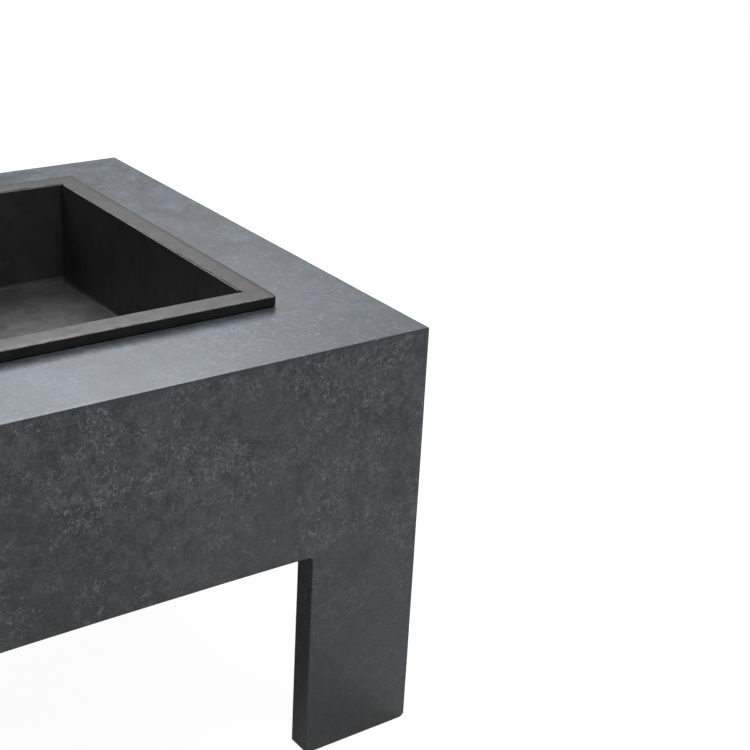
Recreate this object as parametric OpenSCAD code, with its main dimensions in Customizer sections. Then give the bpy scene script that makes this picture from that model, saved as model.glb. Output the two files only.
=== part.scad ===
// Square garden fire pit: a cast console on four corner legs, a drop-in steel fire bowl
// and a loose log grate. Millimetres, +Z up, +X right, -Y towards the front.
// The origin is on the ground under the middle of the console.

/* [Console] */
// Width and depth of the square console
console_w = 680; // [640:10:760]
// Height from the ground to the console's top face
console_h = 470; // [420:1:520]
// Thickness of the top slab and of the side panels
shell_t = 28; // [20:0.5:32]
// Height of the apron, from the top face to its lower edge
apron_h = 225; // [190:1:250]
// Width of each leg, seen from the front or the side
leg_w = 132; // [100:1:150]
// Radius of the leg's bottom corner at the outside of the console
leg_corner_r = 7; // [3:1:12]
// Radius of the leg's bottom corner at the inside, and of the cut-out's top corners
cutout_corner_r = 4; // [2:1:8]
// Leg of the triangular filler in each vertical inside corner
gusset_leg = 34; // [20:1:45]
// Width and height of the stiffening ribs around the bowl opening
rib_w = 24; // [15:1:30]
// Thickness of the pad under each leg
pad_h = 1.5; // [1:0.5:4]

/* [Fire bowl] */
// Outer width of the bowl's square rim
rim_w = 475; // [440:1:490]
// Width of the flat part of the rim
rim_flange_w = 25; // [20:1:30]
// Height of the rim above the console's top face
rim_h = 12; // [8:1:20]
// Thickness of the rim's sheet
rim_t = 2; // [1.5:0.5:3]
// Outer corner radius of the rim
rim_corner_r = 3.5; // [2:0.5:8]
// Thickness of the bowl's walls and floor
bowl_t = 3; // [2:0.5:4]
// Depth of the bowl's floor under the console's top face
bowl_depth = 110; // [80:1:150]
// How far behind the middle of the console the bowl hangs
bowl_back = 18; // [0:1:22]
// Gap between the bowl's walls and the edge of the console's opening
opening_gap = 10; // [8:1:12]
// Size of the relief notch at the top of the side walls' ends
relief = 6; // [3:1:10]
// Drop from the rim's top face to the walls' top edge
wall_drop = 1; // [0.5:0.5:1.5]
// Leg of the weld bead where the walls meet the floor
floor_bead = 4.5; // [3:0.5:6]
// Leg of the weld bead under the rim
rim_bead = 4; // [3:0.5:5]

/* [Log grate] */
// Diameter of a bar
bar_d = 10; // [8:1:12]
// Width over the outer bars
grate_w = 186; // [150:2:200]
// Length over the turned-up ends
grate_l = 320; // [240:5:360]
// Height of the turned-up ends over the bars' middle line
tip_h = 26; // [18:1:30]
// Radius of the bend at each end, at the bar's middle line
bend_r = 14; // [11:1:16]
// Side of the square cross rails
rail_s = 10; // [8:1:14]
// Distance between the middles of the two cross rails
rail_pitch = 190; // [140:5:220]
// Height of the grate's feet
foot_h = 28; // [20:1:40]
// Diameter of the grate's feet
foot_d = 10; // [8:1:12]
// How far left of the bowl's middle the grate stands
grate_left = 76; // [0:1:80]

/* [Hidden] */
$fn = 48;

// Quarter turns from the front to each side, and the margin that cutting shapes reach past
front_turn = 0;
right_turn = 90;
back_turn = 180;
left_turn = 270;
past = 5;

// Console
half_w = console_w / 2;
inner_half = half_w - shell_t;
panel_h = console_h - pad_h;
slab_z = console_h - shell_t;
cutout_w = console_w - 2 * leg_w;
cutout_h = panel_h - apron_h;
pad_gap = 4;
pad_l = 60;
concrete = [0.45, 0.47, 0.49];
pad_black = [0.08, 0.08, 0.08];

// Bowl
bowl_outer = rim_w - 2 * rim_flange_w;
bowl_inner = bowl_outer - 2 * bowl_t;
opening_w = bowl_outer + 2 * opening_gap;
rim_top = console_h + rim_h;
wall_top = rim_top - wall_drop;
floor_z = console_h - bowl_depth;
wall_h = wall_top - floor_z + bowl_t;
steel_black = [0.14, 0.14, 0.15];
rim_grey = [0.42, 0.42, 0.43];

// Grate
bar_count = 5;
foot_inset = 8;
rail_z = floor_z + foot_h;
bar_z = rail_z + rail_s + bar_d / 2;
bar_pitch = (grate_w - bar_d) / (bar_count - 1);
straight_l = grate_l - bar_d - 2 * bend_r;
foot_x = grate_w / 2 - foot_d / 2 - foot_inset;
grate_black = [0.1, 0.1, 0.1];

// A square ring with rounded outer corners, standing on z = 0
module square_ring(outer, inner, height, corner_r) {
    linear_extrude(height)
        difference() {
            rounded_square(outer, corner_r);
            square(inner, center = true);
        }
}

// A square outline with round corners, made of squares and circles
module rounded_square(side, r) {
    square([side, side - 2 * r], center = true);
    square([side - 2 * r, side], center = true);
    for (x = [-1, 1], y = [-1, 1])
        translate([x * (side / 2 - r), y * (side / 2 - r)])
            circle(r);
}

// The quarter of the plan that faces the front, between the two diagonals
module front_quarter(reach, height) {
    linear_extrude(height)
        polygon([[0, 0], [-reach, -reach], [reach, -reach]]);
}

// ---------- Console ----------

// Outline of a side panel seen from outside: an apron over two legs
module panel_outline() {
    difference() {
        union() {
            translate([-half_w, leg_corner_r])
                square([console_w, panel_h - leg_corner_r]);
            translate([leg_corner_r - half_w, 0])
                square([console_w - 2 * leg_corner_r, leg_corner_r]);
            for (x = [-1, 1])
                translate([x * (half_w - leg_corner_r), leg_corner_r])
                    circle(leg_corner_r);
        }
        cutout_outline();
    }
}

// The opening between two legs, with small round corners at its top and at the feet
module cutout_outline() {
    r = cutout_corner_r;
    translate([-cutout_w / 2, -past])
        square([cutout_w, cutout_h + past - r]);
    translate([r - cutout_w / 2, 0])
        square([cutout_w - 2 * r, cutout_h]);
    for (x = [-1, 1]) {
        translate([x * (cutout_w / 2 - r), cutout_h - r])
            circle(r);
        difference() {
            translate([x * (cutout_w / 2 + r / 2), r / 2])
                square([r, r], center = true);
            translate([x * (cutout_w / 2 + r), r])
                circle(r);
        }
    }
}

// One side of the console, mitred to its neighbours and to the top slab
module side_panel(turn) {
    color(concrete)
        rotate(turn)
            intersection() {
                translate([0, shell_t - half_w, pad_h])
                    rotate([90, 0, 0])
                        linear_extrude(shell_t)
                            panel_outline();
                front_quarter(half_w, console_h);
                rotate([90, 0, 90])
                    linear_extrude(console_w + 2 * past, center = true)
                        polygon([
                            [-half_w, 0], [shell_t - half_w, 0],
                            [shell_t - half_w, slab_z], [-half_w, console_h]
                        ]);
            }
}

// Section of the top slab: 45 degree edges that meet the panels' mitres
module slab_section() {
    rotate([90, 0, 0])
        linear_extrude(console_w + 2 * past, center = true)
            polygon([
                [-inner_half, slab_z], [inner_half, slab_z],
                [half_w, console_h], [-half_w, console_h]
            ]);
}

module top_slab() {
    color(concrete)
        difference() {
            intersection() {
                slab_section();
                rotate(right_turn) slab_section();
            }
            translate([0, bowl_back, slab_z])
                cube([opening_w, opening_w, 3 * shell_t], center = true);
        }
}

// Triangular filler cast into a vertical inside corner
module corner_gusset(turn) {
    color(concrete)
        rotate(turn)
            translate([inner_half, -inner_half, pad_h + leg_corner_r])
                linear_extrude(slab_z - pad_h - leg_corner_r)
                    polygon([[0, 0], [-gusset_leg, 0], [0, gusset_leg]]);
}

// Downstand rib along one edge of the opening, mitred to its neighbours
module opening_rib(turn) {
    color(concrete)
        translate([0, bowl_back, slab_z - rib_w])
            rotate(turn)
                intersection() {
                    square_ring(opening_w + 2 * rib_w, opening_w, rib_w, rib_w / 8);
                    front_quarter(opening_w, rib_w);
                }
}

// L-shaped pad under the two panels that make a leg
module foot_pad(turn) {
    pad_w = shell_t - 2 * pad_gap;
    color(pad_black)
        rotate(turn)
            translate([half_w - pad_gap, pad_gap - half_w, 0])
                linear_extrude(pad_h) {
                    translate([-pad_l, 0])
                        square([pad_l, pad_w]);
                    translate([-pad_w, 0])
                        square([pad_w, pad_l]);
                }
}

// ---------- Fire bowl ----------

module bowl_floor() {
    color(steel_black)
        translate([0, bowl_back, floor_z - bowl_t / 2])
            cube([bowl_inner, bowl_inner, bowl_t], center = true);
}

// Front and back walls run the full width of the bowl
module long_wall(turn) {
    color(steel_black)
        translate([0, bowl_back, floor_z - bowl_t])
            rotate(turn)
                translate([-bowl_outer / 2, -bowl_outer / 2, 0])
                    cube([bowl_outer, bowl_t, wall_h]);
}

// Side walls stand between them, with a relief notch at the top of each end
module short_wall(turn) {
    color(steel_black)
        translate([0, bowl_back, floor_z - bowl_t])
            rotate(turn)
                translate([0, -bowl_outer / 2, 0])
                    rotate([90, 0, 0])
                        mirror([0, 0, 1])
                            linear_extrude(bowl_t)
                                difference() {
                                    translate([-bowl_inner / 2, 0])
                                        square([bowl_inner, wall_h]);
                                    for (x = [-1, 1])
                                        translate([x * bowl_inner / 2, wall_h])
                                            square(2 * relief, center = true);
                                }
}

// Folded rim rail: flat flange with a skirt that rests on the console
module rim_rail(turn) {
    color(rim_grey)
        translate([0, bowl_back, console_h])
            rotate(turn)
                intersection() {
                    union() {
                        square_ring(rim_w, rim_w - 2 * rim_t, rim_h, rim_corner_r);
                        translate([0, 0, rim_h - rim_t])
                            square_ring(rim_w, bowl_outer, rim_t, rim_corner_r);
                    }
                    front_quarter(rim_w, rim_h);
                }
}

// One straight stretch of bead with a triangular section, along the front of a square
module bead_side(side, leg) {
    rotate([90, 0, 90])
        linear_extrude(side, center = true)
            polygon([[-side / 2, 0], [leg - side / 2, 0], [-side / 2, leg]]);
}

// Bead around the inside of a square, its four stretches mitred to each other
module inner_bead(side, leg) {
    for (turn = [front_turn, right_turn, back_turn, left_turn])
        rotate(turn)
            intersection() {
                bead_side(side, leg);
                front_quarter(side, leg);
            }
}

module floor_weld() {
    color(steel_black)
        translate([0, bowl_back, floor_z])
            inner_bead(bowl_inner, floor_bead);
}

// Bead around the outside of the walls, under the rim's flange
module rim_weld() {
    section = [[0, 0], [rim_bead, 0], [0, -rim_bead]];
    color(steel_black)
        translate([0, bowl_back, rim_top - rim_t])
            for (turn = [front_turn, right_turn, back_turn, left_turn])
                rotate(turn)
                    translate([0, -bowl_outer / 2, 0])
                        rotate([90, 0, -90])
                            linear_extrude(bowl_outer, center = true)
                                polygon(section);
}

// ---------- Log grate ----------

// Moves its children to the middle of the grate's place
module at_grate() {
    translate([-grate_left, bowl_back, 0])
        children();
}

// Round bar along Y with both ends turned up
module grate_bar(i) {
    color(grate_black)
        at_grate()
            translate([bar_d / 2 - grate_w / 2 + i * bar_pitch, 0, bar_z]) {
                rotate([90, 0, 0])
                    cylinder(h = straight_l, d = bar_d, center = true);
                for (turn = [front_turn, back_turn])
                    rotate(turn)
                        translate([0, straight_l / 2, bend_r])
                            bar_end();
            }
}

// Quarter bend from +Y to +Z and the short upright after it
module bar_end() {
    rotate([0, 90, 0])
        rotate_extrude(angle = 90)
            translate([bend_r, 0])
                circle(d = bar_d);
    translate([0, bend_r, 0])
        cylinder(h = tip_h - bend_r, d = bar_d);
}

module grate_rail(side) {
    color(grate_black)
        at_grate()
            translate([0, side * rail_pitch / 2, rail_z + rail_s / 2])
                cube([grate_w, rail_s, rail_s], center = true);
}

module grate_foot(x, y) {
    color(grate_black)
        at_grate()
            translate([x * foot_x, y * rail_pitch / 2, floor_z])
                cylinder(h = foot_h, d = foot_d);
}

top_slab();
side_panel(front_turn);  // front_panel
side_panel(right_turn);  // right_panel
side_panel(back_turn);  // back_panel
side_panel(left_turn);  // left_panel
corner_gusset(front_turn);  // corner_gusset_front_right
corner_gusset(right_turn);  // corner_gusset_back_right
corner_gusset(back_turn);  // corner_gusset_back_left
corner_gusset(left_turn);  // corner_gusset_front_left
opening_rib(front_turn);  // opening_rib_front
opening_rib(right_turn);  // opening_rib_right
opening_rib(back_turn);  // opening_rib_back
opening_rib(left_turn);  // opening_rib_left
foot_pad(front_turn);  // foot_pad_front_right
foot_pad(right_turn);  // foot_pad_back_right
foot_pad(back_turn);  // foot_pad_back_left
foot_pad(left_turn);  // foot_pad_front_left
bowl_floor();
long_wall(front_turn);  // bowl_wall_front
short_wall(right_turn);  // bowl_wall_right
long_wall(back_turn);  // bowl_wall_back
short_wall(left_turn);  // bowl_wall_left
rim_rail(front_turn);  // rim_rail_front
rim_rail(right_turn);  // rim_rail_right
rim_rail(back_turn);  // rim_rail_back
rim_rail(left_turn);  // rim_rail_left
floor_weld();
rim_weld();
grate_bar(0);  // grate_bar_1
grate_bar(1);  // grate_bar_2
grate_bar(2);  // grate_bar_3
grate_bar(3);  // grate_bar_4
grate_bar(4);  // grate_bar_5
grate_rail(-1);  // grate_rail_front
grate_rail(1);  // grate_rail_back
grate_foot(-1, -1);  // grate_foot_front_left
grate_foot(1, -1);  // grate_foot_front_right
grate_foot(-1, 1);  // grate_foot_back_left
grate_foot(1, 1);  // grate_foot_back_right
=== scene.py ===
import math

import bmesh
import bpy
import numpy as np
from mathutils import Matrix, Vector, noise


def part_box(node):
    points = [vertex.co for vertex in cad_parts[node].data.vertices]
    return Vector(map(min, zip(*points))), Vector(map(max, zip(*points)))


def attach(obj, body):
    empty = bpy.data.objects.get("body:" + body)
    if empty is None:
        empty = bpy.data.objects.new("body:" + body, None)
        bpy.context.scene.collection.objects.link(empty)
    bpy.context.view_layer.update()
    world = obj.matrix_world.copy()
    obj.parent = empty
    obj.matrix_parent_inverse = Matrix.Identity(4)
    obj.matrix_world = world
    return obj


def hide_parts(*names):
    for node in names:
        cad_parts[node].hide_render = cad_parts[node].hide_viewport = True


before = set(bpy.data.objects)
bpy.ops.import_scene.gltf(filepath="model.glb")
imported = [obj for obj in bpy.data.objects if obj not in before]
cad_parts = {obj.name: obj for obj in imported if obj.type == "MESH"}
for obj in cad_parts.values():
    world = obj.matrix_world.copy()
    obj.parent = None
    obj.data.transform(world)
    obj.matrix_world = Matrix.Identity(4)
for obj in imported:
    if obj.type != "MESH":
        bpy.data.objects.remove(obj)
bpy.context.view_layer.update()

MM = 0.001

# ---------- Sizes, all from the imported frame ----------

SLAB_LOW, SLAB_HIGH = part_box("top_slab")
HALF = round(SLAB_HIGH.x, 6)
TOP = SLAB_HIGH.z
SHELL = SLAB_HIGH.z - SLAB_LOW.z
INNER = HALF - SHELL
GROUND = round(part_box("front_panel")[0].z, 6)
HOLE_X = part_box("opening_rib_right")[0].x
HOLE_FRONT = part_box("opening_rib_front")[1].y
HOLE_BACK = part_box("opening_rib_back")[0].y
BOWL_Y = (HOLE_FRONT + HOLE_BACK) / 2


def cutout_of(panel):
    """Inner side of the legs and underside of the apron, read off a panel's own vertices."""
    points = [v.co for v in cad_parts[panel].data.vertices]
    leg = min(abs(p.x) for p in points if p.z < TOP / 3)
    apron = max(p.z for p in points if abs(p.x) < leg and p.z < TOP * 0.75)
    return leg, apron


LEG_X, APRON = cutout_of("front_panel")

# Hand-finished edges of the casting
EDGE_R = 1.1 * MM
GROUND_R = 1.0 * MM
CUTOUT_R = 4.0 * MM
FOOT_R = 7.0 * MM
FOOT_INNER_R = 4.0 * MM
FOOT_SPAN = 16.0 * MM
APRON_ARCH = 1.6 * MM
APRON_SAG = 1.3 * MM
APRON_FADE = 40 * MM
# How deep trowel and mould leave the faces, and chips the edges
HOLLOW_BROAD = 0.35 * MM
HOLLOW_HAND = 0.18 * MM
CHIP_DEPTH = 0.15 * MM
CHIP_REACH = 5 * MM
# Rounding that two equal heights may differ by
SNAP = 1e-6


# ---------- Mesh helpers ----------

def planes(marks, extra, step, guard):
    """Sorted cuts at every mark with a guard on each side, and at extra, with no gap over step."""
    low, high = round(min(marks), 6), round(max(marks), 6)
    cuts = {round(cut, 6) for mark in marks for cut in (mark - guard, mark, mark + guard)}
    cuts = sorted(cut for cut in cuts | {round(e, 6) for e in extra} if low <= cut <= high)
    out = []
    for a, b in zip(cuts, cuts[1:]):
        parts = max(1, math.ceil((b - a) / step - 0.01))
        out += [a + (b - a) * i / parts for i in range(parts)]
    return np.array(out + [high])


def whole(x, y, z):
    """Keeps every cell of a lattice."""
    return np.ones(x.shape, bool)


def lattice_skin(xs, ys, zs, solid):
    """Points and outward quads of the surface of those lattice cells that solid(x, y, z) keeps."""
    middles = [(cuts[1:] + cuts[:-1]) / 2 for cuts in (xs, ys, zs)]
    full = np.pad(solid(*np.meshgrid(*middles, indexing="ij")), 1).astype(int)
    shape = (len(xs), len(ys), len(zs))
    quads = []
    for axis in range(3):
        change = np.diff(full, axis=axis)
        u, v = (axis + 1) % 3, (axis + 2) % 3
        for sign in (1, -1):
            ring = [(0, 0), (1, 0), (1, 1), (0, 1)][:: -sign]
            at = np.argwhere(change == sign)
            at[:, u] -= 1
            at[:, v] -= 1
            corners = []
            for du, dv in ring:
                corner = at.copy()
                corner[:, u] += du
                corner[:, v] += dv
                corners.append(np.ravel_multi_index(corner.T, shape))
            quads.append(np.stack(corners, axis=1))
    used, quads = np.unique(np.concatenate(quads), return_inverse=True)
    i, j, k = np.unravel_index(used, shape)
    return np.stack([xs[i], ys[j], zs[k]], axis=1), quads.reshape(-1, 4)


def to_bmesh(points, faces):
    bm = bmesh.new()
    made = [bm.verts.new(p) for p in points]
    for face in faces:
        bm.faces.new([made[i] for i in face])
    bm.normal_update()
    return bm


def bevel_edges(bm, keep, radius, segments):
    """Rounds the convex edges that keep(edge) accepts."""
    sharp = [e for e in bm.edges if len(e.link_faces) == 2 and e.is_convex
             and e.calc_face_angle(0) > 0.9 and keep(e)]
    bmesh.ops.bevel(bm, geom=sharp, offset=radius, offset_type="OFFSET", segments=segments,
                    profile=0.5, affect="EDGES", clamp_overlap=False)
    bm.normal_update()


def add_piece(bm, name, material, body, slot, *nodes):
    """Turns bm into a piece that rides on body, stands for the CAD nodes and takes the material; slot is
    not used.
    """
    mesh = bpy.data.meshes.new(name)
    bm.to_mesh(mesh)
    bm.free()
    mesh.shade_smooth()
    mesh.set_sharp_from_angle(angle=math.radians(38))
    mesh.materials.append(material)
    piece = bpy.data.objects.new(name, mesh)
    bpy.context.scene.collection.objects.link(piece)
    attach(piece, body)
    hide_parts(*nodes)
    return piece


def keep_node(name, material, radius):
    """Keeps a CAD node as it is, with softened edges and its own finish."""
    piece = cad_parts[name]
    piece.data.materials.clear()
    piece.data.materials.append(material)
    weld = piece.modifiers.new("join", "WELD")
    weld.merge_threshold = 0.01 * MM
    soften = piece.modifiers.new("soften", "BEVEL")
    soften.width = radius
    soften.segments = 2
    soften.limit_method = "ANGLE"
    soften.angle_limit = math.radians(40)
    return piece


def wobble(x, y, z, scale, seed):
    """Smooth random value from -1 to 1 at a place; scale is in features per metre."""
    return noise.noise(Vector((x * scale + seed, y * scale - seed, z * scale + 0.37 * seed)))


# ---------- Console ----------

def console_solid(x, y, z):
    hole = (np.abs(x) < HOLE_X) & (y > HOLE_FRONT) & (y < HOLE_BACK)
    slab = (z > TOP - SHELL) & ~hole
    walls = (np.abs(x) > INNER) | (np.abs(y) > INNER)
    cutouts = ((np.abs(x) < LEG_X) | (np.abs(y) < LEG_X)) & (z < APRON)
    return slab | (walls & ~cutouts)


def round_cutout_corners(points):
    """Bends both edges at each top corner of the cut-outs onto one small arc."""
    for along, across in ((0, 1), (1, 0)):
        s, t, z = np.abs(points[:, along]), np.abs(points[:, across]), points[:, 2]
        panel = t > INNER - EDGE_R / 4
        soffit = panel & (np.abs(z - APRON) < SNAP) & (s > LEG_X - CUTOUT_R) & (s < LEG_X + SNAP)
        side = panel & (np.abs(s - LEG_X) < SNAP) & (z > APRON - CUTOUT_R) & (z < APRON - SNAP)
        turn = np.full(len(points), np.nan)
        turn[soffit] = 45 + 45 * (LEG_X - s[soffit]) / CUTOUT_R
        turn[side] = 45 - 45 * (APRON - z[side]) / CUTOUT_R
        hit = ~np.isnan(turn)
        angle = np.radians(turn[hit])
        sign = np.sign(points[hit, along])
        points[hit, along] = sign * (LEG_X - CUTOUT_R + CUTOUT_R * np.cos(angle))
        points[hit, 2] = APRON - CUTOUT_R + CUTOUT_R * np.sin(angle)


def arc_lift(distance, radius):
    """How far a round corner lies above the bottom at this distance from its side."""
    short = max(0.0, radius - max(0.0, distance))
    return radius - math.sqrt(radius * radius - short * short)


def shape_foot(co):
    """Rounds the bottom corners of the legs, at the outside and beside the cut-outs."""
    height = co.z - GROUND
    if height > FOOT_SPAN:
        return
    a, b = HALF - abs(co.x), HALF - abs(co.y)
    lift = arc_lift(max(a, b), FOOT_R)
    if abs(co.y) > INNER - EDGE_R:
        lift = max(lift, arc_lift(abs(co.x) - LEG_X, FOOT_INNER_R))
    if abs(co.x) > INNER - EDGE_R:
        lift = max(lift, arc_lift(abs(co.y) - LEG_X, FOOT_INNER_R))
    co.z += lift * (1 - height / FOOT_SPAN)


def arch_apron(co):
    """The apron's lower edge stands a little high in the middle and sags towards the legs."""
    along = min(abs(co.x), abs(co.y))
    near = 1 - abs(co.z - APRON) / APRON_FADE
    beside = 1 - max(0.0, along - LEG_X) / APRON_FADE
    if near > 0 and beside > 0:
        middle = 1 - (min(along, LEG_X) / LEG_X) ** 2
        co.z += near * beside * (APRON_ARCH * middle - APRON_SAG)


def cast_surface(co, normal):
    """Moves a point of the casting inwards by what trowel and mould leave on it."""
    broad = 0.5 + 0.5 * wobble(*co, 7, 3.1)
    hand = 0.5 + 0.5 * wobble(*co, 26, 11.7)
    depth = HOLLOW_BROAD * broad + HOLLOW_HAND * hand
    gaps = sorted((HALF - abs(co.x), HALF - abs(co.y), TOP - co.z))
    worn = max(0.0, 1 - gaps[1] / CHIP_REACH)
    if worn > 0:
        chips = max(0.0, wobble(*co, 55, 5.3)) + 0.6 * max(0.0, wobble(*co, 130, 8.9))
        depth += worn * CHIP_DEPTH * chips
    return co - normal * depth


def make_console(material):
    """The console as one casting: slab, four sides and legs, cut on a lattice and then rounded."""
    arc = [CUTOUT_R * k for k in (0.25, 0.5, 0.75, 1.0)]
    side_marks = [-HALF, -INNER, -LEG_X, LEG_X, INNER, HALF]
    guard = 2.6 * MM
    step = 8 * MM
    bends = [s * (LEG_X - a) for a in arc for s in (-1, 1)]
    bends += [s * (HALF - share * FOOT_R) for share in (0.6, 0.8) for s in (-1, 1)]
    xs = planes(side_marks + [-HOLE_X, HOLE_X], bends, step, guard)
    ys = planes(side_marks + [HOLE_FRONT, HOLE_BACK], bends, step, guard)
    zs = planes([GROUND, APRON, TOP - SHELL, TOP], [APRON - a for a in arc], step, guard)
    points, quads = lattice_skin(xs, ys, zs, console_solid)
    round_cutout_corners(points)
    bm = to_bmesh(points, quads)
    under = TOP - SHELL
    bevel_edges(bm, lambda e: all(abs(v.co.z - GROUND) < MM for v in e.verts), GROUND_R, 2)
    bevel_edges(bm, lambda e: any(GROUND + 2 * MM < v.co.z < under - MM or v.co.z > under + MM
                                  for v in e.verts), EDGE_R, 3)
    for v in bm.verts:
        arch_apron(v.co)
        shape_foot(v.co)
    bm.normal_update()
    moved = [cast_surface(v.co, v.normal) for v in bm.verts]
    for v, co in zip(bm.verts, moved):
        v.co = co
    return add_piece(bm, "console_shell", material, "console", "fibre_clay",
                     "top_slab", "front_panel", "right_panel", "back_panel", "left_panel")


# ---------- Fire bowl ----------

RIM_LOW, RIM_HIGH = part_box("rim_rail_front")
RIM_HALF = RIM_HIGH.x
RIM_TOP = RIM_HIGH.z
FLANGE = RIM_HIGH.y - RIM_LOW.y
WALL_OUT = RIM_HALF - FLANGE
FLOOR_LOW, FLOOR_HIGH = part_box("bowl_floor")
FLOOR_TOP = FLOOR_HIGH.z
WALL_IN = FLOOR_HIGH.x
WALL_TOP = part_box("bowl_wall_right")[1].z
RIM_T = 2.0 * MM
FOLD_R = 1.7 * MM
RIM_CORNER = 6.0 * MM
SKIRT_GAP = 0.9 * MM
SKIRT_BREAK = 0.4 * MM
LIP_BREAK = 0.45 * MM
INNER_BREAK = 0.6 * MM
RIM_WAVE = 0.22 * MM
RIM_SINK = 0.12 * MM
RIM_EASE = 40 * MM


def turned(point, quarter):
    """A point of the front side, turned to side number quarter about the bowl's middle."""
    x, y, z = point
    for _ in range(quarter):
        x, y = -y, x
    return (x, y + BOWL_Y, z)


def rim_profile():
    """Inset from the skirt's face and height, once round the folded sheet, starting inside its foot."""
    foot = TOP + SKIRT_GAP
    under = RIM_TOP - RIM_T
    points = [(RIM_T, foot), (SKIRT_BREAK, foot), (0.0, foot + SKIRT_BREAK)]
    for k in range(5):
        angle = math.radians(90 * k / 4)
        points.append((FOLD_R - FOLD_R * math.cos(angle), RIM_TOP - FOLD_R + FOLD_R * math.sin(angle)))
    points += [(FLANGE * 0.35, RIM_TOP), (FLANGE * 0.7, RIM_TOP), (FLANGE - 2 * MM, RIM_TOP)]
    points += [(FLANGE - LIP_BREAK, RIM_TOP), (FLANGE, RIM_TOP - LIP_BREAK), (FLANGE, under)]
    points += [(RIM_T + INNER_BREAK, under), (RIM_T, under - INNER_BREAK)]
    return points


def rim_station(inset, turn, share):
    """Plan position of a profile point: share along the straight, then turn round the corner."""
    r = RIM_CORNER
    reach = RIM_HALF - max(inset, r)
    if turn is None:
        return reach * share, -(RIM_HALF - inset)
    side = math.copysign(1, turn)
    bend = math.radians(abs(turn))
    if inset < r:
        x = RIM_HALF - r + (r - inset) * math.sin(bend)
        return side * x, -(RIM_HALF - r + (r - inset) * math.cos(bend))
    return side * (RIM_HALF - inset), -(RIM_HALF - inset)


def make_rim_rail(quarter, side, material):
    """One mitred length of the rim, from corner to corner, with slightly wavy sheet."""
    profile = rim_profile()
    bends = (45, 30, 15)
    straights = 48
    stations = [(-b, 0) for b in bends]
    stations += [(None, -1 + 2 * k / straights) for k in range(straights + 1)]
    stations += [(b, 0) for b in reversed(bends)]
    points = []
    for turn, share in stations:
        for inset, z in profile:
            x, y = rim_station(inset, turn, share)
            px, py, pz = turned((x, y, z), quarter)
            ease = min(1.0, max(0.0, (RIM_HALF - FLANGE - abs(x)) / RIM_EASE))
            y += max(0.0, RIM_WAVE * ease * wobble(px, py, pz, 6, 2.3))
            if z > TOP + 2 * MM:
                z -= RIM_SINK * (0.5 + 0.5 * wobble(px, py, 0, 9, 4.1))
            points.append(turned((x, y, z), quarter))
    n = len(profile)
    faces = []
    for s in range(len(stations) - 1):
        for k in range(n):
            a, b = s * n + k, s * n + (k + 1) % n
            faces.append((a, b, b + n, a + n))
    last = (len(stations) - 1) * n
    faces.append(tuple(range(n)))
    faces.append(tuple(last + k for k in reversed(range(n))))
    bm = to_bmesh(points, faces)
    bmesh.ops.remove_doubles(bm, verts=bm.verts, dist=0.002 * MM)
    bmesh.ops.dissolve_degenerate(bm, edges=bm.edges, dist=0.001 * MM)
    bmesh.ops.recalc_face_normals(bm, faces=bm.faces)
    return add_piece(bm, f"rim_{side}", material, "fire_bowl", "bowl_paint", f"rim_rail_{side}")


NOTCH = 6.0 * MM
EDGE_RISE = 0.75 * MM
EDGE_DIP = 0.30 * MM
WALL_DENT = 0.9 * MM
WALL_EDGE_R = 0.4 * MM


def ground_edge(share, x, quarter):
    """Rise of a wall's top edge: flush with the rim at one end, a small step at the other."""
    flush = 1 / (1 + math.exp(-6 * (share + 0.15)))
    return EDGE_RISE * flush - EDGE_DIP * (0.5 + 0.5 * wobble(x, quarter, 0, 34, 1.7))


def make_wall(quarter, side, material):
    """One plate of the bowl's box; the short ones have a relief notch at the top of each end."""
    long_plate = side in ("front", "back")
    reach = WALL_OUT if long_plate else WALL_IN
    foot = FLOOR_LOW.z

    def notched(x, y, z):
        return ~((np.abs(x) > reach - NOTCH) & (z > WALL_TOP - NOTCH))

    guard = 0.7 * MM
    marks = [-reach, reach] if long_plate else [-reach, NOTCH - reach, reach - NOTCH, reach]
    xs = planes(marks, [], 12 * MM, guard)
    ys = np.array([-WALL_OUT, -WALL_IN])
    zs = planes([foot, WALL_TOP - NOTCH, WALL_TOP], [], 12 * MM, guard)
    points, quads = lattice_skin(xs, ys, zs, whole if long_plate else notched)
    bm = to_bmesh(points, quads)
    bevel_edges(bm, lambda e: min(v.co.z for v in e.verts) > foot + MM, WALL_EDGE_R, 2)
    depth = WALL_TOP - foot
    for v in bm.verts:
        x, y, z = v.co
        bow = math.cos(0.5 * math.pi * x / reach) * math.sin(math.pi * (z - foot) / depth)
        dent = wobble(x, quarter, z, 9, 6.1 + quarter)
        y += WALL_DENT * dent * max(0.0, bow)
        if z > WALL_TOP - 1.5 * MM:
            z += ground_edge(x / reach, x, quarter)
        v.co = turned((x, y, z), quarter)
    bm.normal_update()
    return add_piece(bm, f"wall_{side}", material, "fire_bowl", "bowl_paint", f"bowl_wall_{side}")


FLOOR_SAG = 0.5 * MM


def make_floor(material):
    """The floor plate, pulled a little out of flat by the welds round it."""
    xs = planes([-WALL_IN, WALL_IN], [], 10 * MM, MM)
    zs = np.array([FLOOR_LOW.z, FLOOR_TOP])
    points, quads = lattice_skin(xs, xs, zs, whole)
    points[:, 1] += BOWL_Y
    bm = to_bmesh(points, quads)
    for v in bm.verts:
        v.co.z -= FLOOR_SAG * (0.5 + 0.5 * wobble(v.co.x, v.co.y, 0, 5, 9.4))
    bm.normal_update()
    return add_piece(bm, "floor_plate", material, "fire_bowl", "bowl_paint", "bowl_floor")


BEAD_SIDES = 5
BEAD_SINK = 0.3 * MM
BEAD_ROOT = 0.5 * MM


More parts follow.
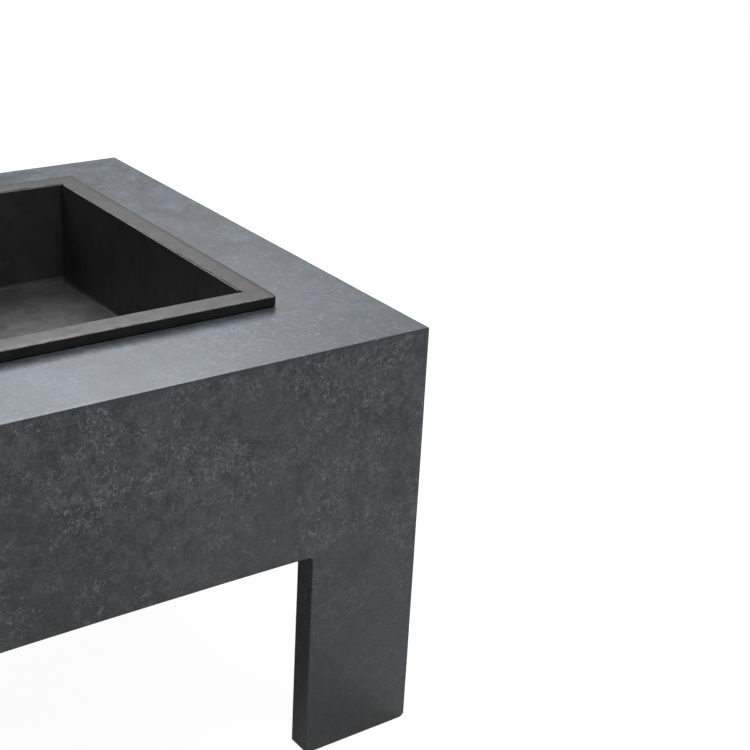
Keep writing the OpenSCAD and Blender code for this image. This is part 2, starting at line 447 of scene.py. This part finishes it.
def bead_profile(size):
    """Inset from the wall and rise from the plate, over the bead's face from its toe to the wall."""
    points = [(size, 0.0)]
    for t in range(1, BEAD_SIDES):
        angle = math.radians(90 * t / BEAD_SIDES)
        bulge = size * (0.80 + 0.10 * math.sin(2 * angle))
        points.append((max(0.0, size - bulge * math.sin(angle)), max(0.0, size - bulge * math.cos(angle))))
    return points + [(0.0, size)]


def make_floor_bead(material):
    """Weld bead round the foot of the walls, laid in four runs of overlapping ripples."""
    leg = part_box("floor_weld")[1].z - FLOOR_TOP
    steps = 150
    bm = bmesh.new()
    for quarter in range(4):
        rows = []
        for k in range(steps + 1):
            share = -1 + 2 * k / steps
            ripple = 1 + 0.04 * math.sin(k * 1.9) + 0.10 * wobble(share * WALL_IN, quarter, 0, 60, 2.2)
            size = min(leg * 0.99, leg * 0.82 * ripple)
            points = []
            for inset, rise in bead_profile(size):
                reach = WALL_IN - inset
                points.append((share * reach, -reach, FLOOR_TOP - BEAD_SINK + rise))
            points.append((share * WALL_IN, -WALL_IN, FLOOR_TOP - BEAD_ROOT))
            rows.append([bm.verts.new(turned(point, quarter)) for point in points])
        for a, b in zip(rows, rows[1:]):
            for t in range(len(a)):
                u = (t + 1) % len(a)
                bm.faces.new((a[t], b[t], b[u], a[u]))
        bm.faces.new(rows[0])
        bm.faces.new(list(reversed(rows[-1])))
    bmesh.ops.recalc_face_normals(bm, faces=bm.faces)
    return add_piece(bm, "floor_bead", material, "fire_bowl", "bowl_paint", "floor_weld")


# ---------- Log grate ----------

BARS = range(1, 6)
BAR_BEND = 14 * MM
RAIL_EDGE_R = 0.7 * MM
WELD_LUMP = (2.0 * MM, 3.9 * MM, 1.7 * MM)


def skin_rings(bm, rings):
    """Closed skin over rings of points, from the first ring to the last."""
    sides = len(rings[0])
    for a, b in zip(rings, rings[1:]):
        for k in range(sides):
            u = (k + 1) % sides
            bm.faces.new((a[k], a[u], b[u], b[k]))
    bm.faces.new(list(reversed(rings[0])))
    bm.faces.new(rings[-1])


def rod(bm, path, radius, sides, seed):
    """A closed bar swept along a path that lies in one plane of constant x, with softened ends."""
    rings = []
    ends = {0: 0.55, 1: 0.85, len(path) - 2: 0.85, len(path) - 1: 0.55}
    for i, p in enumerate(path):
        before, after = path[max(0, i - 1)], path[min(len(path) - 1, i + 1)]
        forward = (after - before).normalized()
        across = Vector((1, 0, 0))
        up = across.cross(forward).normalized()
        size = radius * ends.get(i, 1.0)
        ring = []
        for k in range(sides):
            angle = 2 * math.pi * k / sides
            r = size * (1 - 0.035 * (0.5 + 0.5 * wobble(p.x + k, p.y, p.z, 90, seed)))
            ring.append(bm.verts.new(p + across * (r * math.cos(angle)) + up * (r * math.sin(angle))))
        rings.append(ring)
    skin_rings(bm, rings)


def weld_blob(bm, centre, size, seed):
    """A small lump of weld, flattened onto the joint."""
    made = bmesh.ops.create_icosphere(bm, subdivisions=2, radius=1.0)["verts"]
    for v in made:
        lump = 1 + 0.22 * wobble(v.co.x, v.co.y, v.co.z, 1.7, seed)
        v.co = centre + Vector(tuple(a * b * lump for a, b in zip(v.co, size)))


def bar_path(low, high, radius, bend):
    """Middle line of a bar along Y with both ends turned up, from its box."""
    x = (low.x + high.x) / 2
    z = low.z + radius
    y0, y1 = low.y + radius, high.y - radius
    heights = (high.z, high.z - 0.5 * MM, high.z - 1.6 * MM, z + bend + 2 * MM)
    front = [Vector((x, y0, height)) for height in heights]
    for k in range(9):
        angle = math.radians(90 * k / 8)
        front.append(Vector((x, y0 + bend - bend * math.cos(angle), z + bend - bend * math.sin(angle))))
    count = 24
    middle = [Vector((x, y0 + bend + (y1 - y0 - 2 * bend) * k / count, z)) for k in range(1, count)]
    back = [Vector((x, y0 + y1 - p.y, p.z)) for p in reversed(front)]
    return front + middle + back


def make_bar(number, material):
    """One round bar of the grate with both ends turned up."""
    low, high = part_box(f"grate_bar_{number}")
    radius = (high.x - low.x) / 2
    bm = bmesh.new()
    rod(bm, bar_path(low, high, radius, BAR_BEND), radius, 20, 3.0 * number)
    add_piece(bm, f"log_bar_{number}", material, "fire_grate", "grate_steel", f"grate_bar_{number}")


def make_cross_rail(side, material):
    """A flat rail under the bars, with a lump of weld on both sides of each bar."""
    low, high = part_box(f"grate_rail_{side}")
    cuts = [planes([a, b], [], 8 * MM, MM) for a, b in zip(low, high)]
    points, quads = lattice_skin(*cuts, whole)
    bm = to_bmesh(points, quads)
    bevel_edges(bm, lambda e: True, RAIL_EDGE_R, 2)
    for number in BARS:
        bar_low, bar_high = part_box(f"grate_bar_{number}")
        middle = (bar_low.x + bar_high.x) / 2
        for s in (-1, 1):
            spot = Vector((middle + s * 3.4 * MM, (low.y + high.y) / 2, high.z + 0.6 * MM))
            weld_blob(bm, spot, WELD_LUMP, number + s * 0.4 + low.y)
    bm.normal_update()
    add_piece(bm, f"cross_rail_{side}", material, "fire_grate", "grate_steel", f"grate_rail_{side}")


def make_foot(place, material):
    """Turned foot: a chamfered end below and a ring of weld under the rail."""
    corner_low, corner_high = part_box(f"grate_foot_{place}")
    middle = (corner_low + corner_high) / 2
    radius = (corner_high.x - corner_low.x) / 2
    low, high = corner_low.z, corner_high.z
    outline = [(0.80, low), (0.97, low + 1.2 * MM), (0.97, low + 8 * MM)]
    outline += [(0.96, high - 5 * MM), (0.97, high - 2.2 * MM), (0.99, high - 0.8 * MM), (0.99, high)]
    sides = 24
    bm = bmesh.new()
    rings = []
    for share, z in outline:
        ring = []
        for k in range(sides):
            angle = 2 * math.pi * k / sides
            r = radius * share * (1 - 0.012 * (0.5 + 0.5 * wobble(k, z, middle.x, 40, 5.5)))
            ring.append(bm.verts.new((middle.x + r * math.cos(angle), middle.y + r * math.sin(angle), z)))
        rings.append(ring)
    skin_rings(bm, rings)
    bm.normal_update()
    add_piece(bm, f"foot_{place}", material, "fire_grate", "grate_steel", f"grate_foot_{place}")


def make_grate(material):
    for number in BARS:
        make_bar(number, material)
    for side in ("front", "back"):
        make_cross_rail(side, material)
    for place in ("front_left", "front_right", "back_left", "back_right"):
        make_foot(place, material)


# ---------- Materials ----------

class Tree:
    """Short way to wire a material's nodes."""

    def __init__(self, name):
        self.material = bpy.data.materials.new(name)
        self.material.use_nodes = True
        self.nodes = self.material.node_tree.nodes
        self.links = self.material.node_tree.links
        self.shader = self.nodes["Principled BSDF"]
        self.place = self.add("ShaderNodeTexCoord").outputs["Object"]

    def add(self, kind, **settings):
        made = self.nodes.new(kind)
        for key, value in settings.items():
            setattr(made, key, value)
        return made

    def feed(self, socket, value):
        if isinstance(value, bpy.types.NodeSocket):
            self.links.new(value, socket)
        else:
            socket.default_value = value

    def grain(self, scale, detail=4.0, rough=0.55, warp=0.0, place=None):
        """Noise from 0 to 1; scale in features per metre."""
        made = self.add("ShaderNodeTexNoise")
        self.feed(made.inputs["Vector"], place or self.place)
        made.inputs["Scale"].default_value = scale
        made.inputs["Detail"].default_value = detail
        made.inputs["Roughness"].default_value = rough
        made.inputs["Distortion"].default_value = warp
        return made.outputs["Fac"]

    def math(self, operation, a, b=0.0):
        made = self.add("ShaderNodeMath", operation=operation)
        self.feed(made.inputs[0], a)
        self.feed(made.inputs[1], b)
        return made.outputs[0]

    def remap(self, value, low, high, to_low=0.0, to_high=1.0):
        made = self.add("ShaderNodeMapRange", interpolation_type="SMOOTHSTEP")
        self.feed(made.inputs["Value"], value)
        for key, number in (("From Min", low), ("From Max", high), ("To Min", to_low), ("To Max", to_high)):
            made.inputs[key].default_value = number
        return made.outputs["Result"]

    def blend(self, share, a, b, mode="MIX"):
        made = self.add("ShaderNodeMix", data_type="RGBA", blend_type=mode)
        self.feed(made.inputs["Factor"], share)
        self.feed(made.inputs["A"], a)
        self.feed(made.inputs["B"], b)
        return made.outputs["Result"]

    def moved(self, warp_scale, amount, stretch=(1, 1, 1)):
        """Coordinates pushed about by a broad noise, and stretched."""
        push = self.add("ShaderNodeTexNoise")
        self.feed(push.inputs["Vector"], self.place)
        push.inputs["Scale"].default_value = warp_scale
        push.inputs["Detail"].default_value = 3.0
        centred = self.add("ShaderNodeVectorMath", operation="SUBTRACT")
        self.feed(centred.inputs[0], push.outputs["Color"])
        centred.inputs[1].default_value = (0.5, 0.5, 0.5)
        scaled = self.add("ShaderNodeVectorMath", operation="SCALE")
        self.feed(scaled.inputs[0], centred.outputs[0])
        scaled.inputs["Scale"].default_value = amount
        total = self.add("ShaderNodeVectorMath", operation="ADD")
        self.feed(total.inputs[0], self.place)
        self.feed(total.inputs[1], scaled.outputs[0])
        wide = self.add("ShaderNodeVectorMath", operation="MULTIPLY")
        self.feed(wide.inputs[0], total.outputs[0])
        wide.inputs[1].default_value = stretch
        return wide.outputs[0]

    def slanted(self, place, turn, stretch):
        """Coordinates turned by three angles in degrees and then stretched."""
        turned_place = self.add("ShaderNodeVectorRotate", rotation_type="EULER_XYZ")
        self.feed(turned_place.inputs["Vector"], place)
        turned_place.inputs["Rotation"].default_value = tuple(math.radians(v) for v in turn)
        wide = self.add("ShaderNodeVectorMath", operation="MULTIPLY")
        self.feed(wide.inputs[0], turned_place.outputs[0])
        wide.inputs[1].default_value = stretch
        return wide.outputs[0]

    def strokes(self, scale, place):
        """Short thin curved lines, 0 to 1: pieces of one contour of a smooth noise."""
        ridge = self.math("ABSOLUTE", self.math("SUBTRACT", self.grain(scale, 1, 0.5, 1.2, place), 0.5))
        pieces = self.remap(self.grain(scale * 1.3, 1, 0.5), 0.46, 0.56)
        return self.math("MULTIPLY", self.remap(ridge, 0.0, 0.035, 1.0, 0.0), pieces)

    def bump(self, height, strength, distance):
        made = self.add("ShaderNodeBump")
        self.feed(made.inputs["Height"], height)
        made.inputs["Strength"].default_value = strength
        made.inputs["Distance"].default_value = distance
        self.links.new(made.outputs[0], self.shader.inputs["Normal"])


def grey(value, tint=(1, 1, 1)):
    return tuple(value * t for t in tint) + (1.0,)


def clay_zones(t):
    """Masks by height: the sealed top face, and how busy the pattern is, fading towards the ground."""
    height = t.add("ShaderNodeSeparateXYZ")
    t.feed(height.inputs[0], t.place)
    z = height.outputs["Z"]
    sealed = t.remap(z, TOP - 8 * MM, TOP - 2 * MM)
    upper = t.remap(z, 0.10, 0.36, 0.25, 1.0)
    upper = t.math("SUBTRACT", upper, t.math("MULTIPLY", sealed, 0.5))
    return z, sealed, upper


def clay_ground(t, z, upper, mottle, grit):
    """Ground colour: mottling from dark to pale with calm stretches, cooler higher up."""
    cloud = t.grain(7, 4, 0.55, 0.5)
    tone = t.math("ADD", t.math("MULTIPLY", cloud, 0.2), t.math("MULTIPLY", mottle, 0.5))
    tone = t.math("ADD", tone, t.math("MULTIPLY", grit, 0.3))
    dark, pale = grey(0.032, (1.0, 1.0, 1.01)), grey(0.146, (1.0, 1.0, 1.02))
    busy = t.remap(t.grain(15, 3, 0.5, 0.8), 0.36, 0.58, 0.45, 1.0)
    busy = t.math("MULTIPLY", busy, upper)
    colour = t.blend(t.remap(tone, 0.42, 0.60), dark, pale)
    colour = t.blend(busy, grey(0.065, (1.04, 1.0, 0.97)), colour)
    cool = t.remap(z, 0.30, TOP)
    return t.blend(cool, colour, grey(1.0, (0.95, 0.98, 1.03)), "MULTIPLY")


def clay_patches(t, colour, upper):
    """Broad teal and brown patches, pale trowel sweeps and streaks, and dark shades over the ground."""
    teal = t.remap(t.grain(13, 3, 0.5, 0.9), 0.48, 0.64, 0.0, 0.45)
    colour = t.blend(t.math("MULTIPLY", teal, upper), colour, grey(0.082, (0.84, 1.03, 1.13)))
    brown = t.remap(t.grain(11, 3, 0.5, 0.7, t.moved(5, 0.3)), 0.52, 0.66, 0.0, 0.30)
    colour = t.blend(brown, colour, grey(0.085, (1.14, 1.02, 0.84)))
    sweep = t.remap(t.grain(16, 5, 0.6, 1.5, t.moved(6, 0.12, (1.0, 1.0, 2.6))), 0.52, 0.66, 0.0, 0.45)
    colour = t.blend(t.math("MULTIPLY", sweep, upper), colour, grey(0.125, (0.90, 1.0, 1.10)))
    drawn = t.moved(10, 0.05)
    for scale, turn in ((95, (28, 30, 0)), (75, (-35, -38, 20))):
        pull = t.grain(scale, 5, 0.7, 0.6, t.slanted(drawn, turn, (1.0, 1.0, 0.30)))
        pull = t.math("MULTIPLY", t.remap(pull, 0.54, 0.68, 0.0, 0.50), upper)
        colour = t.blend(pull, colour, grey(0.165, (0.94, 1.0, 1.05)))
    shade = t.remap(t.grain(34, 3, 0.6, 1.8, t.moved(9, 0.10, (1.0, 1.0, 0.7))), 0.50, 0.62, 0.0, 0.50)
    return t.blend(t.math("MULTIPLY", shade, upper), colour, grey(0.040, (0.96, 1.0, 1.04)))


def clay_strokes(t, upper):
    """Mask of the short curved strokes, which come in patches."""
    patchy = t.remap(t.grain(17, 3, 0.6, 0.5), 0.42, 0.56)
    strokes = t.math("MAXIMUM", t.strokes(105, t.moved(26, 0.07, (1.0, 1.0, 0.5))),
                     t.strokes(150, t.moved(19, 0.09, (0.5, 0.5, 1.0))))
    return t.math("MULTIPLY", t.math("MULTIPLY", strokes, patchy), upper)


def clay_gloss(t, mottle, grit):
    """Roughness between the polished and the dry parts of the surface."""
    sheen = t.grain(9, 4, 0.6, 1.0, t.moved(7, 0.10))
    gloss = t.math("ADD", t.math("MULTIPLY", mottle, 0.5), t.math("MULTIPLY", grit, 0.2))
    gloss = t.math("ADD", gloss, t.math("MULTIPLY", sheen, 0.3))
    return t.remap(gloss, 0.42, 0.60, 0.285, 0.375)


def fibre_clay():
    """Slate-coloured cast fibre clay: mottled, trowelled, with pale flecks and short curved strokes."""
    t = Tree("console_clay")
    mottle = t.grain(60, 9, 0.80, 1.2, t.moved(11, 0.09))
    grit = t.grain(330, 3, 0.7)
    z, sealed, upper = clay_zones(t)
    strokes = clay_strokes(t, upper)
    colour = clay_ground(t, z, upper, mottle, grit)
    colour = clay_patches(t, colour, upper)
    colour = t.blend(t.math("MULTIPLY", strokes, 0.85), colour, grey(0.28, (0.95, 1.0, 1.05)))
    speck = t.remap(t.grain(480, 1, 0.5), 0.68, 0.76, 0.0, 0.7)
    colour = t.blend(speck, colour, grey(0.30))
    colour = t.blend(sealed, colour, grey(1.0, (0.89, 1.0, 1.11)), "MULTIPLY")
    t.feed(t.shader.inputs["Base Color"], colour)
    t.feed(t.shader.inputs["Roughness"], clay_gloss(t, mottle, grit))
    t.shader.inputs["IOR"].default_value = 1.5
    t.shader.inputs["Specular Tint"].default_value = (0.91, 1.0, 1.11, 1.0)
    relief = t.math("ADD", t.math("MULTIPLY", t.grain(52, 6, 0.62, 0.8), 0.8),
                    t.math("MULTIPLY", grit, 0.30))
    relief = t.math("ADD", relief, t.math("MULTIPLY", strokes, 0.10))
    t.bump(relief, 0.22, 1.0 * MM)
    return t.material


def rubbed_folds_and_highlight(t, worn):
    """Mask of the round folds, where the paint is rubbed and a highlight is painted: faces between upright
    and level.
    """
    facing = t.add("ShaderNodeSeparateXYZ")
    t.feed(facing.inputs[0], t.add("ShaderNodeNewGeometry").outputs["Normal"])
    up = facing.outputs["Z"]
    fold_highlight = t.math("MULTIPLY", t.remap(up, 0.25, 0.55), t.remap(up, 0.90, 0.98, 1.0, 0.0))
    fold_highlight = t.math("MULTIPLY", fold_highlight, t.remap(t.grain(60, 4, 0.7), 0.35, 0.60, 0.45, 1.0))
    return t.math("MULTIPLY", fold_highlight, worn)


def bowl_paint(name, tone, dusty, worn, shine):
    """Heat-proof black paint on sheet steel: spray texture, dust and rub marks, in a lighter or darker
    tone, with its folds lightened where worn is over 0, by rubbed paint and a painted highlight; shine is
    the specular level."""
    t = Tree(name)
    cloud = t.grain(16, 4, 0.6, 0.4)
    dust = t.remap(t.grain(38, 5, 0.65, 0.8, t.moved(12, 0.06)), 0.45, 0.72, 0.0, dusty)
    colour = t.blend(t.remap(cloud, 0.35, 0.65), grey(0.030 * tone), grey(0.042 * tone, (1.0, 0.99, 0.98)))
    colour = t.blend(dust, colour, grey(0.058 * tone, (1.0, 1.0, 1.01)))
    rub = t.remap(t.grain(240, 3, 0.6, 0.3, t.moved(9, 0.05, (0.25, 1, 1))), 0.62, 0.74, 0.0, 0.25)
    colour = t.blend(rub, colour, grey(0.085 * tone))
    # Painted highlight with rubbed paint: the folds get a light grey and a little metal, so a light line
    # runs along them.
    if worn > 0:
        fold_highlight = rubbed_folds_and_highlight(t, worn)
        colour = t.blend(fold_highlight, colour, grey(0.33, (1.0, 0.99, 0.98)))
        t.feed(t.shader.inputs["Metallic"], t.math("MULTIPLY", fold_highlight, 0.25))
    t.feed(t.shader.inputs["Base Color"], colour)
    t.feed(t.shader.inputs["Roughness"], t.remap(t.grain(70, 4, 0.6), 0.3, 0.7, 0.36, 0.50))
    t.shader.inputs["IOR"].default_value = 1.46
    t.shader.inputs["Specular IOR Level"].default_value = shine
    height = t.math("ADD", t.math("MULTIPLY", t.grain(900, 2, 0.5), 0.5),
                    t.math("MULTIPLY", t.grain(130, 3), 0.5))
    t.bump(height, 0.35, 0.12 * MM)
    return t.material


def grate_steel():
    """Blackened bar steel with mill scale and a trace of rust bloom."""
    t = Tree("bar_black")
    scale = t.grain(110, 6, 0.7, 0.6)
    colour = t.blend(t.remap(scale, 0.35, 0.65), grey(0.016), grey(0.045, (1.0, 0.98, 0.95)))
    bloom = t.remap(t.grain(46, 5, 0.7, 0.8), 0.56, 0.74, 0.0, 0.50)
    colour = t.blend(bloom, colour, (0.075, 0.042, 0.026, 1.0))
    t.feed(t.shader.inputs["Base Color"], colour)
    t.feed(t.shader.inputs["Roughness"], t.remap(scale, 0.3, 0.7, 0.42, 0.72))
    t.shader.inputs["Metallic"].default_value = 0.15
    height = t.math("ADD", t.grain(260, 5, 0.65), t.math("MULTIPLY", t.grain(60, 3), 0.8))
    t.bump(height, 0.8, 0.3 * MM)
    return t.material


def pad_rubber():
    """Dull black rubber with a fine moulded grain."""
    t = Tree("foot_rubber")
    colour = t.blend(t.remap(t.grain(90, 4), 0.35, 0.65), grey(0.018), grey(0.034))
    t.feed(t.shader.inputs["Base Color"], colour)
    t.feed(t.shader.inputs["Roughness"], t.remap(t.grain(200, 3), 0.3, 0.7, 0.68, 0.85))
    t.bump(t.grain(1200, 2), 0.4, 0.1 * MM)
    return t.material


# ---------- Stage, light and camera ----------

WHITE = (1.0, 1.0, 1.0, 1.0)
FLOOR_R = 40.0
FLOOR_DROP = 0.2 * MM
FLOOR_GLOW = 0.96
FLOOR_SHADING = 0.15
SKY_LIGHT = 0.02
SKY_SEEN = 1.0


def make_stage():
    """One wide pale floor. The camera sees it overexposed, with only a trace of shadow."""
    bm = bmesh.new()
    bmesh.ops.create_circle(bm, cap_ends=True, segments=96, radius=FLOOR_R)
    mesh = bpy.data.meshes.new("studio_floor")
    bm.to_mesh(mesh)
    bm.free()
    floor = bpy.data.objects.new("studio_floor", mesh)
    floor.location.z = -FLOOR_DROP
    bpy.context.scene.collection.objects.link(floor)
    t = Tree("floor_paper")
    tone = t.remap(t.grain(0.8, 3), 0.3, 0.7)
    t.feed(t.shader.inputs["Base Color"], t.blend(tone, grey(0.76), grey(0.78)))
    t.shader.inputs["Roughness"].default_value = 0.95
    t.shader.inputs["Specular IOR Level"].default_value = 0.0
    shading = t.add("ShaderNodeBsdfDiffuse")
    shading.inputs["Color"].default_value = grey(FLOOR_SHADING)
    glow = t.add("ShaderNodeEmission")
    glow.inputs["Strength"].default_value = FLOOR_GLOW
    seen = t.add("ShaderNodeAddShader")
    t.links.new(shading.outputs[0], seen.inputs[0])
    t.links.new(glow.outputs[0], seen.inputs[1])
    mix = t.add("ShaderNodeMixShader")
    t.links.new(t.add("ShaderNodeLightPath").outputs["Is Camera Ray"], mix.inputs["Fac"])
    t.links.new(t.shader.outputs[0], mix.inputs[1])
    t.links.new(seen.outputs[0], mix.inputs[2])
    t.links.new(mix.outputs[0], t.nodes["Material Output"].inputs["Surface"])
    mesh.materials.append(t.material)


def area_light(name, azimuth, elevation, width, height, radiance):
    """A softbox turned towards the middle of the top; azimuth from +Y towards +X, in degrees."""
    data = bpy.data.lights.new(name, "AREA")
    data.shape = "RECTANGLE"
    data.size, data.size_y = width, height
    data.energy = radiance * width * height * math.pi
    light = bpy.data.objects.new(name, data)
    a, e = math.radians(azimuth), math.radians(elevation)
    out = Vector((math.sin(a) * math.cos(e), math.cos(a) * math.cos(e), math.sin(e)))
    light.location = Vector((0, 0, TOP)) + out * LIGHT_DISTANCE
    light.rotation_euler = out.to_track_quat("Z", "Y").to_euler()
    light.visible_camera = False
    bpy.context.scene.collection.objects.link(light)


def make_world():
    """Even pale surroundings to the eye, dimmer as a source of light."""
    world = bpy.data.worlds.new("studio")
    bpy.context.scene.world = world
    world.use_nodes = True
    nodes, links = world.node_tree.nodes, world.node_tree.links
    lit = nodes["Background"]
    lit.inputs["Color"].default_value = WHITE
    lit.inputs["Strength"].default_value = SKY_LIGHT
    seen = nodes.new("ShaderNodeBackground")
    seen.inputs["Strength"].default_value = SKY_SEEN
    seen.inputs["Color"].default_value = WHITE
    path = nodes.new("ShaderNodeLightPath")
    mix = nodes.new("ShaderNodeMixShader")
    links.new(path.outputs["Is Camera Ray"], mix.inputs["Fac"])
    links.new(lit.outputs[0], mix.inputs[1])
    links.new(seen.outputs[0], mix.inputs[2])
    links.new(mix.outputs[0], nodes["World Output"].inputs["Surface"])


LIGHT_DISTANCE = 3.2
WIDE_BOX = (1.8, 1.5)
SMALL_BOX = (0.85, 0.5)
LIGHTS = (
    # name, azimuth, elevation, width and height, radiance
    ("overhead_back", 20, 52, WIDE_BOX, 8.6),
    ("overhead_front", 180, 72, WIDE_BOX, 5.2),
    ("front_fill", 180, 55, WIDE_BOX, 1.6),
    ("left_fill", -30, 52, WIDE_BOX, 2.1),
    ("right_fill", 60, 15, WIDE_BOX, 0.8),
    ("sheen_left", 20, 32, SMALL_BOX, 5.4),
    ("sheen_right", 35, 32, SMALL_BOX, 3.9),
    ("sheen_low", 35, 24, SMALL_BOX, 1.5),
    ("edge_light", 105, 50, (1.2, 0.9), 3.0),
    ("low_left", -85, 4, (1.8, 0.7), 2.0),
)


def make_lights():
    for name, azimuth, elevation, (width, height), radiance in LIGHTS:
        area_light(name, azimuth, elevation, width, height, radiance)


CAMERA_AT = (-0.6060, -1.5100, 1.0680)
CAMERA_AZIMUTH = 36.954
CAMERA_DOWN = 23.486
CAMERA_ROLL = 3.076
LENS = 77.454
SENSOR = 36.0


def make_camera():
    """Camera at the photographed angle: azimuth from +Y towards +X, degrees below level, and roll."""
    data = bpy.data.cameras.new("camera")
    data.lens = LENS
    data.sensor_width = SENSOR
    data.clip_end = 200.0
    camera = bpy.data.objects.new("camera", data)
    a, d, r = (math.radians(v) for v in (CAMERA_AZIMUTH, CAMERA_DOWN, CAMERA_ROLL))
    forward = Vector((math.sin(a) * math.cos(d), math.cos(a) * math.cos(d), -math.sin(d)))
    level = Vector((math.cos(a), -math.sin(a), 0))
    up = level.cross(forward)
    right = level * math.cos(r) + up * math.sin(r)
    up = right.cross(forward)
    turn = Matrix((right, up, -forward)).transposed()
    camera.matrix_world = Matrix.Translation(CAMERA_AT) @ turn.to_4x4()
    bpy.context.scene.collection.objects.link(camera)
    bpy.context.scene.camera = camera


# ---------- The whole picture ----------

SIDES = ("front", "right", "back", "left")
CORNERS = ("front_right", "back_right", "back_left", "front_left")

make_camera()
clay, steel, rubber = fibre_clay(), grate_steel(), pad_rubber()
# worn lightens the rim's folds: rubbed paint and a painted highlight along them.
rim_paint = bowl_paint("rim_black", tone=0.8, dusty=0.4, worn=0.9, shine=0.42)
wall_paint = bowl_paint("wall_black", tone=1.05, dusty=0.5, worn=0.0, shine=0.5)
# The floor plate's paint is 1.5 times the base tone: ash dust, and painted light for the plate that faces
# the lamps.
floor_paint_dusty_lit = bowl_paint("floor_black_dusty_lit", tone=1.5, dusty=0.8, worn=0.0, shine=0.42)
# The bead's paint is 0.7 of the base tone: painted shade that keeps its tilted face from catching the
# light.
bead_paint_shaded = bowl_paint("bead_black_shaded", tone=0.7, dusty=0.3, worn=0.0, shine=0.5)
make_console(clay)
for quarter, side in enumerate(SIDES):
    make_rim_rail(quarter, side, rim_paint)
    make_wall(quarter, side, wall_paint)
    keep_node(f"opening_rib_{side}", clay, radius=2 * MM)
for corner in CORNERS:
    keep_node(f"corner_gusset_{corner}", clay, radius=1.5 * MM)
    keep_node(f"foot_pad_{corner}", rubber, radius=0.4 * MM)
make_floor(floor_paint_dusty_lit)
make_floor_bead(bead_paint_shaded)
# The rim weld takes the bead's darker paint, with its painted shade.
keep_node("rim_weld", bead_paint_shaded, radius=0.5 * MM)
make_grate(steel)
make_stage()
make_world()
make_lights()
bpy.context.scene.view_settings.view_transform = "Standard"
